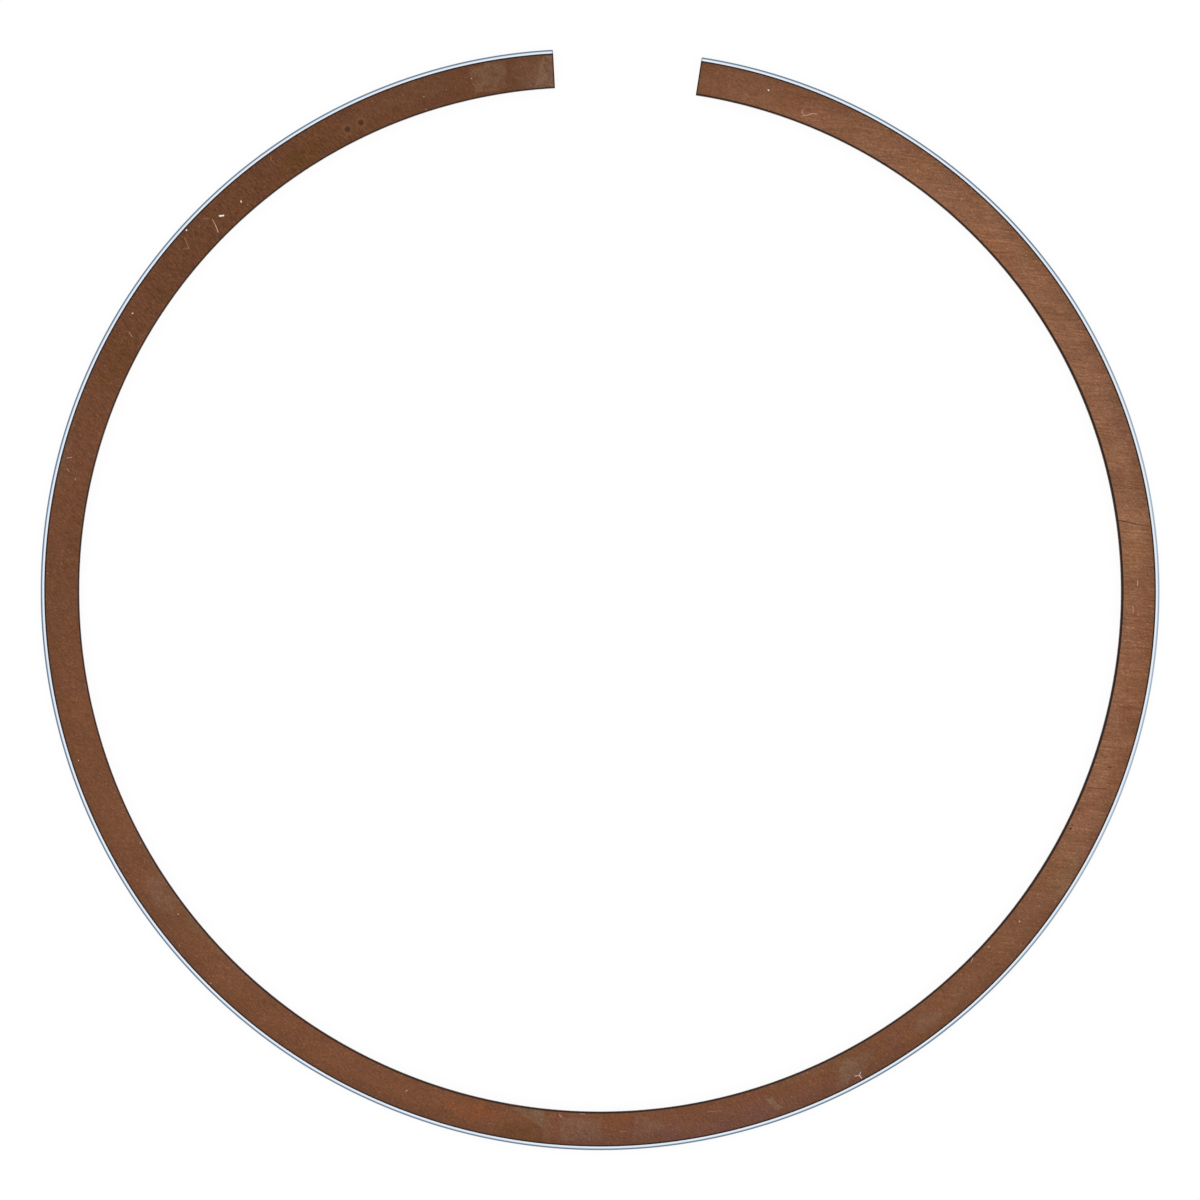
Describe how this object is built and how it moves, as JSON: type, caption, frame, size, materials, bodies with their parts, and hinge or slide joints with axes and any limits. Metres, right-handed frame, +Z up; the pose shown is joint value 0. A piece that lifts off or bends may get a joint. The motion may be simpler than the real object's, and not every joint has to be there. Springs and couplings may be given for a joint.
{
  "type": "piston ring",
  "caption": "Split compression ring in its free, sprung-open shape: brown oxide side faces, bright plated running face with rounded edges and square-cut gap ends; seals a piston in its bore.",
  "frame": {"origin": "middle of the ring's bounding box, on the lower side face", "axes": "+Z up along the axis of the cylinder, square to the side faces; +Y towards the middle of the end gap; +X across the widest part of the free ring"},
  "size_m": [0.0902, 0.0884, 0.0012],
  "materials": {
    "ring": "brown oxide coat on the ground side faces, inner wall and ends; bright chromium plating on the running face and its rounded edges"
  },
  "bodies": {
    "root": {"ring": "ring"}
  },
  "joints": []
}
